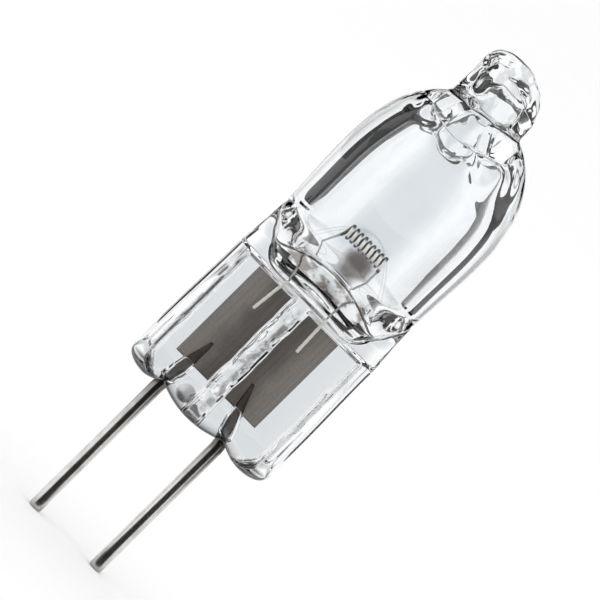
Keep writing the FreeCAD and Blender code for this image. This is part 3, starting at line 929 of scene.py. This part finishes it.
def tungsten_material(metal):
    """Tungsten wire: grey legs, and a coil with painted light in front and painted shade round its edges."""
    material, tree, shader, body = drawn_metal("tungsten_wire", tuple(metal.tungsten), (0.2, 0.195, 0.19),
                                               0.3, (9000, 9000, 9000), 900)
    _, deep, height = tree.split(tree.place())
    level, reach = metal.coil_level, metal.coil_radius
    aside = tree.math("ABSOLUTE", tree.math("SUBTRACT", height, level))
    rim = tree.fade(aside, reach * 0.62, reach * 0.95)
    behind = tree.fade(deep, -reach * 0.25, reach * 0.15)
    # Painted light and shade: pale in front, dark at the top, underside and back of each turn; less metal on
    # the coil.
    turns = tree.mix(tree.math("MAXIMUM", rim, behind), tuple(metal.coil_painted_light), tuple(metal.coil_painted_shade))
    on_coil = tree.fade(height, level - reach * 1.45, level - reach * 1.25)
    tree.link(tree.mix(on_coil, body, turns), shader.inputs["Base Color"])
    tree.link(tree.math("SUBTRACT", 1.0, tree.times(on_coil, 0.7)), shader.inputs["Metallic"])
    return material


class CAPSULE_OT_filament(bpy.types.Operator):
    """Tungsten coil with its two legs"""

    bl_idname = "capsule.filament"
    bl_label = "Filament"

    def execute(self, context):
        metal = context.scene.capsule_metal
        path = self.path(metal)
        skin = Skin()
        skin.add_rows(sweep(path, self.radii(metal, path[:, 2]), 14), capped=True)
        mesh = skin.mesh("tungsten_filament", merge=FINE_MERGE)
        tungsten = tungsten_material(metal)
        # Painted reflection: the leg in its seal gets a near-white, unmetallic colour.
        bright = drawn_metal("painted_reflection_leg", tuple(metal.weld), (0.9, 0.86, 0.78), 0.5, (4000, 4000, 9000),
                             5000, metallic=0.0)[0]
        place("tungsten_filament", mesh, "filament", [tungsten, bright])
        for face in mesh.polygons:
            face.material_index = int(face.center.z < LEFT_FOIL_HIGH.z + SEAL_REACH * MM)
        return {"FINISHED"}

    def path(self, metal):
        """Middle of the wire: up the left leg, along the coil and down the right leg."""
        coil, pitch, level = metal.coil_radius / MM, metal.coil_pitch / MM, metal.coil_level / MM
        leg_x, leg_top, leg_end = metal.leg_spacing / 2 / MM, metal.leg_straight / MM, FILAMENT_LOW.z / MM
        leg_y = LEFT_FOIL_LOW.y / MM - metal.wire_radius / MM
        steps_a_turn = 44
        turns = np.linspace(0, metal.coil_turns * TURN, int(metal.coil_turns * steps_a_turn))
        along = GLASS_AXIS / MM - metal.coil_turns * pitch / 2 + turns / TURN * pitch
        reach = coil * (1 + 0.02 * np.sin(turns * 0.37))
        helix = np.stack([along, reach * np.cos(turns), level + reach * np.sin(turns)], 1)
        left, right = np.array([-leg_x, leg_y, leg_top]), np.array([leg_x, leg_y, leg_top])
        slope = pitch / (TURN * coil)
        into = np.array([-slope, 0, -1.0]) / math.hypot(slope, 1)
        out_of = np.array([slope, 0, -1.0]) / math.hypot(slope, 1)
        left_leg = curve_through([
            (-leg_x - 0.05, leg_y, leg_end), (-leg_x + 0.08, leg_y, 7.0), (-leg_x + 0.22, leg_y, 8.3),
            (-leg_x + 0.1, leg_y, 9.2), left], 90)
        right_leg = curve_through([
            right, (leg_x - 0.03, leg_y, 8.3), (leg_x + 0.07, leg_y, leg_end)], 90)
        return np.vstack([
            left_leg, self.joined(left, helix[0], into)[1:], helix[1:],
            self.joined(right, helix[-1], out_of)[::-1][1:], right_leg[1:]])

    def joined(self, leg, coil_end, pull):
        """Points from an upright leg to the coil's end."""
        reach = np.linalg.norm(coil_end - leg) / 3
        return bezier(leg, leg + np.array([0, 0, 1.0]) * reach, coil_end + pull * reach, coil_end, 40)

    def radii(self, metal, height):
        """Radius of the wire: knobbly in its seal, thin in the free legs, thicker in the coil."""
        knobbly = metal.wire_radius / MM * 1.2 + 0.012 * np.sin(height * 38) + 0.006 * np.sin(height * 17)
        leg, coil, thickening = metal.leg_wire / MM, metal.coil_wire / MM, 0.3
        above = height - metal.coil_level / MM + metal.coil_radius / MM + thickening
        free = leg + (coil - leg) * smooth(above / thickening)
        return np.where(height < LEFT_FOIL_HIGH.z / MM + SEAL_REACH, knobbly, free)


def foil_material(metal):
    """Rolled molybdenum: lines along the strip, and painted shade that darkens its inner half in blurred
    spots.
    """
    material, tree = new_material("molybdenum_foil")
    place_on = tree.place()
    lines = tree.drawn(place_on, (7000, 2000, 260), 6.0, 0.7)
    grain = tree.noise(place_on, 9000.0, 3.0)
    # Painted shade: darker towards the strip's inner edge, blurred by noise.
    outward = tree.fade(tree.math("ABSOLUTE", tree.split(place_on)["X"]), 0.9 * MM, 2.2 * MM)
    body = tree.ramp(tree.blurred(outward, tree.noise(place_on, 700.0, 4.0), 1.1),
                     (0.15, tuple(metal.foil_painted_shade)), (0.85, tuple(metal.foil)))
    streaks = tree.ramp(lines, (0.25, (0.55, 0.53, 0.52)), (0.75, (1.25, 1.22, 1.2)))
    speckles = tree.ramp(grain, (0.3, (0.6, 0.58, 0.56)), (0.7, (1.3, 1.28, 1.26)))
    body = tree.mix(0.3, tree.mix(0.5, body, streaks, "MULTIPLY"), speckles, "MULTIPLY")
    tree.surface(tree.add("BsdfPrincipled", {
        "Base Color": body, "Metallic": 1.0, "Roughness": tree.fade(grain, 0.0, 1.0, 0.38, 0.6),
        "Normal": tree.bump(lines, 0.25, 0.01 * MM)}))
    return material


class CAPSULE_OT_foils(bpy.types.Operator):
    """Thin sealing foils with feathered edges"""

    bl_idname = "capsule.foils"
    bl_label = "Sealing foils"

    def execute(self, context):
        material = foil_material(context.scene.capsule_metal)
        feather, around = 0.45, circle(72)
        for node, low, high, seed in (("foil_left", LEFT_FOIL_LOW, LEFT_FOIL_HIGH, 11),
                                      ("foil_right", RIGHT_FOIL_LOW, RIGHT_FOIL_HIGH, 12)):
            middle, half = (low.x + high.x) / 2 / MM, (high.x - low.x) / 2 / MM
            thick = (high.y - low.y) / 2 / MM
            x = half * np.cos(around)
            y = np.sign(np.sin(around)) * thick * smooth((half - np.abs(x)) / feather) * 0.8
            rows = []
            for level in np.linspace(low.z / MM, high.z / MM, 72):
                bow = 0.0018 * math.sin(level * 3.1 + seed) + 0.0012 * math.sin(level * 7.7)
                rows.append(ring(x + middle, y + bow, level))
            skin = Skin()
            skin.add_rows(rows, capped=True)
            mesh = skin.mesh(node + "_strip", merge=FINE_MERGE)
            place(node + "_strip", mesh, node, [material])
        return {"FINISHED"}


def pin_material(metal):
    """Drawn pin: bright outside, browned by heat towards the pinch and in it, dull at the cut end."""
    material, tree, shader, body = drawn_metal("drawn_pin", tuple(metal.pin), (0.5, 0.48, 0.455), 0.21,
                                               (5200, 5200, 130), 1500)
    place_on = tree.place()
    height = tree.blurred(tree.split(place_on)["Z"], tree.noise(place_on, 1800.0, 5.0), 1.2 * MM)
    browned = tree.mix(tree.fade(height, -2.2 * MM, 0.9 * MM), body, tuple(metal.pin_dark))
    cut_end = tree.times(tree.fade(height, -7.5 * MM, -8.1 * MM), 0.55)
    tree.link(tree.mix(cut_end, browned, (0.12, 0.115, 0.11)), shader.inputs["Base Color"])
    return material


class CAPSULE_OT_pins(bpy.types.Operator):
    """Contact pins, drawn wire with a tapered end welded to the foil"""

    bl_idname = "capsule.pins"
    bl_label = "Contact pins"

    def execute(self, context):
        material = pin_material(context.scene.capsule_metal)
        around = circle(48)
        foil_foot, foil_front = LEFT_FOIL_LOW.z / MM, LEFT_FOIL_LOW.y / MM
        for node, side, low, high in (("pin_left", -1, LEFT_PIN_LOW, LEFT_PIN_HIGH),
                                      ("pin_right", 1, RIGHT_PIN_LOW, RIGHT_PIN_HIGH)):
            bottom, top, full = low.z / MM, high.z / MM, (high.y - low.y) / 2 / MM
            levels = np.concatenate([[bottom, bottom, bottom], bottom + np.array([0.015, 0.045, 0.1]),
                                     np.linspace(bottom + 0.2, top, 130), [top]])
            radii = [pin_radius(level) for level in levels]
            radii[:6] = [0.0, full * 0.4, full - 0.1, full - 0.05, full - 0.018, full]
            radii[-1] = 0.0
            rows = []
            for level, radius in zip(levels, radii):
                y = radius * np.sin(around)
                seated = smooth((level - foil_foot + 0.05) / 0.1)
                y = y + (np.minimum(y, foil_front) - y) * seated
                rows.append(ring(pin_centre(side, level) + radius * np.cos(around), y, level))
            skin = Skin()
            skin.add_rows(rows)
            place(node + "_wire", skin.mesh(node + "_wire"), node, [material])
        return {"FINISHED"}


def card_material(name, middle, edge=None, start=0.02, end=0.03):
    """Matt cloth of one colour, or that goes over into another at its sides."""
    material, tree = new_material(name)
    place_on = tree.place()
    aside = tree.math("ABSOLUTE", tree.split(place_on)["X"])
    body = tree.mix(tree.fade(aside, start, end), middle, edge or middle)
    nap = tree.ramp(tree.noise(place_on, 200.0), (0.3, (0.5, 0.5, 0.5)), (0.7, (1, 1, 1)))
    tree.surface(tree.add("BsdfPrincipled", {
        "Base Color": tree.mix(0.05, body, nap, "MULTIPLY"), "Roughness": 1.0, "Specular IOR Level": 0.0}))
    return material


def bearing(degrees, distance):
    """Floor place at an angle from straight behind the lamp, to the right if positive."""
    return distance * math.sin(math.radians(degrees)), distance * math.cos(math.radians(degrees))


def upright_card(start, end, low, high):
    """Corners of a standing card from one floor place to another."""
    return [(*start, low), (*end, low), (*end, high), (*start, high)]


def leaning_card(left, right, low_edge, high_edge):
    """Corners of a card between two edges, each a distance behind the lamp and a height."""
    return [(left, *low_edge), (right, *low_edge), (right, *high_edge), (left, *high_edge)]


def stage_sheet(name, corners, material):
    """Flat sheet that belongs to the stage."""
    mesh = bpy.data.meshes.new(name)
    mesh.from_pydata(corners, [], [tuple(range(len(corners)))])
    mesh.materials.append(material)
    sheet = bpy.data.objects.new(name, mesh)
    bpy.context.scene.collection.objects.link(sheet)
    return sheet


def unseen_card(name, corners, material):
    """Flat screen that shows only as a mirror image and through glass."""
    card = stage_sheet(name, corners, material)
    card.visible_camera = card.visible_diffuse = card.visible_shadow = False
    return card


def soft_box(name, place_at, aim, size, power):
    """Rectangular lamp turned to a place."""
    light = bpy.data.lights.new(name, "AREA")
    light.shape = "RECTANGLE"
    light.size, light.size_y = size
    light.energy = power
    lamp = bpy.data.objects.new(name, light)
    lamp.location = place_at
    lamp.rotation_mode = "QUATERNION"
    lamp.rotation_quaternion = (Vector(aim) - Vector(place_at)).to_track_quat("-Z", "Y")
    bpy.context.scene.collection.objects.link(lamp)


class CAPSULE_OT_stage(bpy.types.Operator):
    """Floor, background, soft light and camera"""

    bl_idname = "capsule.stage"
    bl_label = "Stage"

    def execute(self, context):
        stage = context.scene.capsule_stage
        self.floor(stage)
        self.background(context.scene)
        self.screens(stage)
        self.lamps()
        self.camera(context.scene, stage)
        context.scene.view_settings.view_transform = "Standard"
        return {"FINISHED"}

    def floor(self, stage):
        """Wide pale floor at the pins' ends."""
        material, tree = new_material("pale_floor")
        pale = tuple(stage.floor)
        grain = tree.noise(tree.place(), 60.0)
        body = tree.mix(grain, pale, tuple(min(1, value * 1.02) for value in pale))
        tree.surface(tree.add("BsdfPrincipled", {
            "Base Color": body, "Roughness": 0.9, "Specular IOR Level": 0.1}))
        reach, level = 30.0, LEFT_PIN_LOW.z
        corners = [(-reach, -reach), (reach, -reach), (reach, reach), (-reach, reach)]
        stage_sheet("pale_floor", [(*corner, level) for corner in corners], material)

    def background(self, scene):
        """Plain white all round."""
        world = bpy.data.worlds.new("white_room")
        world.use_nodes = True
        scene.world = world
        tree = Nodes(world.node_tree)
        tree.surface(tree.add("Background", {"Color": (1, 1, 1, 1), "Strength": 1.0}), "OutputWorld")

    def screens(self, stage):
        """Dark, pale and dusky cards round the lamp that the camera doesn't see directly, in metres."""
        self.side_flags(card_material("dark_flag", tuple(stage.flag)))
        self.pale_cards(card_material("pale_card", tuple(stage.card), (0.9, 0.9, 0.9), 0.004, 0.012))
        self.metal_cards(card_material("dusky_card", (0.035, 0.033, 0.031)),
                         card_material("grey_card", (0.16, 0.155, 0.15)))

    def side_flags(self, dark):
        """Dark flags at both sides and over the back, whose images edge the glass."""
        away, top, low_top, ridge = 0.085, 0.1, -0.0004, (0.067, 0.05)
        left = ((-27, top), (-72, top), (-72, 0.006), (-55, 0.006), (-40, 0.0075), (-27, 0.0105))
        right = ((24, top), (42, top), (42, 0.0), (24, 0.0))
        for name, outline in (("left", left), ("right", right)):
            unseen_card(f"dark_flag_{name}", [(*bearing(turn, away), level) for turn, level in outline], dark)
        for name, start, end in (("left", -31, -72), ("right", 24, 42), ("far_right", 53, 72)):
            corners = upright_card(bearing(start, away), bearing(end, away), LEFT_PIN_LOW.z, low_top)
            unseen_card(f"low_flag_{name}", corners, dark)
        unseen_card("dark_flag_top", leaning_card(-0.04, 0.04, (0.075, 0.028), ridge), dark)
        unseen_card("dark_flag_above", leaning_card(-0.014, 0.018, ridge, (0.058, 0.07)), dark)

    def pale_cards(self, pale):
        """Pale card straight behind the lamp and its tongue on the floor."""
        half, near, away, floor = 0.013, 0.03, 0.08, LEFT_PIN_LOW.z
        tongue = floor + 0.0001
        unseen_card("pale_card", upright_card((-half, away), (half, away), floor, 0.1), pale)
        unseen_card("pale_tongue", leaning_card(-half, half, (near, tongue), (away, tongue)), pale)

    def metal_cards(self, dusk, grey):
        """Cards in front and at the right that darken the pins and don't show through the glass."""
        floor, top = LEFT_PIN_LOW.z, 0.009
        tongue, left, right = floor + 0.0001, (-0.023, -0.03), (0.03, -0.03)
        apron = [(-0.003, -0.001), left, right, (0.0035, -0.001)]
        for name, corners, cloth in (
                ("dark_flag_front", upright_card(left, right, floor, top), dusk),
                ("dark_apron", [(*corner, tongue) for corner in apron], dusk),
                ("grey_card_right", upright_card((0.034, -0.022), (0.046, 0.012), floor, top), grey)):
            unseen_card(name, corners, cloth).visible_transmission = False

    def lamps(self):
        """A soft box at each side in front, the left one stronger."""
        for name, across, power in (("soft_box_left", -0.34, 0.22), ("soft_box_right", 0.34, 0.18)):
            soft_box(name, (across, -0.2, 0.16), (0, 0, 0.008), (0.22, 0.42), power)

    def camera(self, scene, stage):
        """Camera in front, tilted so that the lamp leans in the picture."""
        data = bpy.data.cameras.new("camera")
        data.sensor_width = 36
        data.lens = data.sensor_width * stage.distance / stage.field
        data.clip_start, data.clip_end = 0.01, 20
        data.dof.use_dof = False
        view = bpy.data.objects.new("camera", data)
        rise, lean = stage.elevation, stage.lean
        right = Vector((1, 0, 0))
        upright = Vector((0, math.sin(rise), math.cos(rise)))
        back = Vector((0, -math.cos(rise), math.sin(rise)))
        picture_x = upright * math.cos(lean) + right * math.sin(lean)
        picture_y = upright * math.sin(lean) - right * math.cos(lean)
        turn = Matrix((picture_x, picture_y, back)).transposed()
        aim = Vector((stage.aim_across, 0, stage.aim_up))
        view.matrix_world = Matrix.Translation(aim + back * stage.distance) @ turn.to_4x4()
        scene.collection.objects.link(view)
        scene.camera = view


class CAPSULE_PT_panel(bpy.types.Panel):
    """Lists the lamp's pieces"""

    bl_label = "Halogen capsule bulb"
    bl_idname = "CAPSULE_PT_panel"
    bl_space_type = "VIEW_3D"
    bl_region_type = "UI"
    bl_category = "Capsule"

    def draw(self, context):
        scene = context.scene
        for heading, group, operators in (
                ("Glass", scene.capsule_glass, (CAPSULE_OT_envelope,)),
                ("Metal", scene.capsule_metal, (CAPSULE_OT_filament, CAPSULE_OT_foils, CAPSULE_OT_pins)),
                ("Stage", scene.capsule_stage, (CAPSULE_OT_stage,))):
            box = self.layout.box()
            box.label(text=heading)
            for name in group.bl_rna.properties.keys():
                if name not in ("rna_type", "name"):
                    box.prop(group, name)
            for operator in operators:
                box.operator(operator.bl_idname)


CLASSES = (CapsuleGlass, CapsuleMetal, CapsuleStage, CAPSULE_OT_envelope, CAPSULE_OT_filament,
           CAPSULE_OT_foils, CAPSULE_OT_pins, CAPSULE_OT_stage, CAPSULE_PT_panel)


def register():
    for item in CLASSES:
        bpy.utils.register_class(item)
    bpy.types.Scene.capsule_glass = PointerProperty(type=CapsuleGlass)
    bpy.types.Scene.capsule_metal = PointerProperty(type=CapsuleMetal)
    bpy.types.Scene.capsule_stage = PointerProperty(type=CapsuleStage)


def unregister():
    del bpy.types.Scene.capsule_stage
    del bpy.types.Scene.capsule_metal
    del bpy.types.Scene.capsule_glass
    for item in reversed(CLASSES):
        bpy.utils.unregister_class(item)


def main():
    register()
    bpy.ops.capsule.envelope()
    bpy.ops.capsule.filament()
    bpy.ops.capsule.foils()
    bpy.ops.capsule.pins()
    bpy.ops.capsule.stage()


if __name__ == "__main__":
    main()
